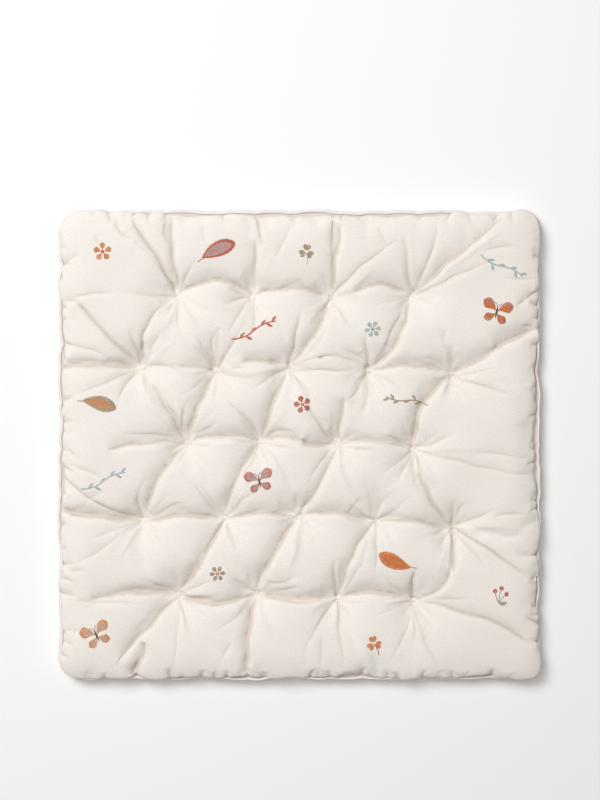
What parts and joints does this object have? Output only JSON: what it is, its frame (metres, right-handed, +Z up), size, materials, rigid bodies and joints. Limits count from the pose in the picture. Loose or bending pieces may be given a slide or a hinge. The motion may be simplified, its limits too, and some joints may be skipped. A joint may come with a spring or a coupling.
{
  "type": "tufted baby play mat",
  "caption": "Square filled play mat of off-white cotton with a boxed edge, a welt in its top seam, thread-tied tufts and small embroidered motifs.",
  "frame": {"origin": "middle of the mat's base, on the surface that it lies on", "axes": "+Z up, +X towards the mat's right edge and +Y towards its top edge, as it is seen from above"},
  "size_m": [1.002, 0.9747, 0.0567],
  "materials": {
    "canvas": "matt plain-woven off-white cotton",
    "welt_canvas": "the same cotton, cut on the bias round a thin filler cord",
    "tie_thread": "thick off-white cotton thread"
  },
  "bodies": {
    "root": {"mat_body": "canvas", "top_welt": "welt_canvas", "tuft_tie_01": "tie_thread", "tuft_tie_02": "tie_thread", "tuft_tie_03": "tie_thread", "tuft_tie_04": "tie_thread", "tuft_tie_05": "tie_thread", "tuft_tie_06": "tie_thread", "tuft_tie_07": "tie_thread", "tuft_tie_08": "tie_thread", "tuft_tie_09": "tie_thread", "tuft_tie_10": "tie_thread", "tuft_tie_11": "tie_thread", "tuft_tie_12": "tie_thread", "tuft_tie_13": "tie_thread", "tuft_tie_14": "tie_thread", "tuft_tie_15": "tie_thread", "tuft_tie_16": "tie_thread", "tuft_tie_17": "tie_thread", "tuft_tie_18": "tie_thread", "tuft_tie_19": "tie_thread", "tuft_tie_20": "tie_thread", "tuft_tie_21": "tie_thread", "tuft_tie_22": "tie_thread"}
  },
  "joints": []
}
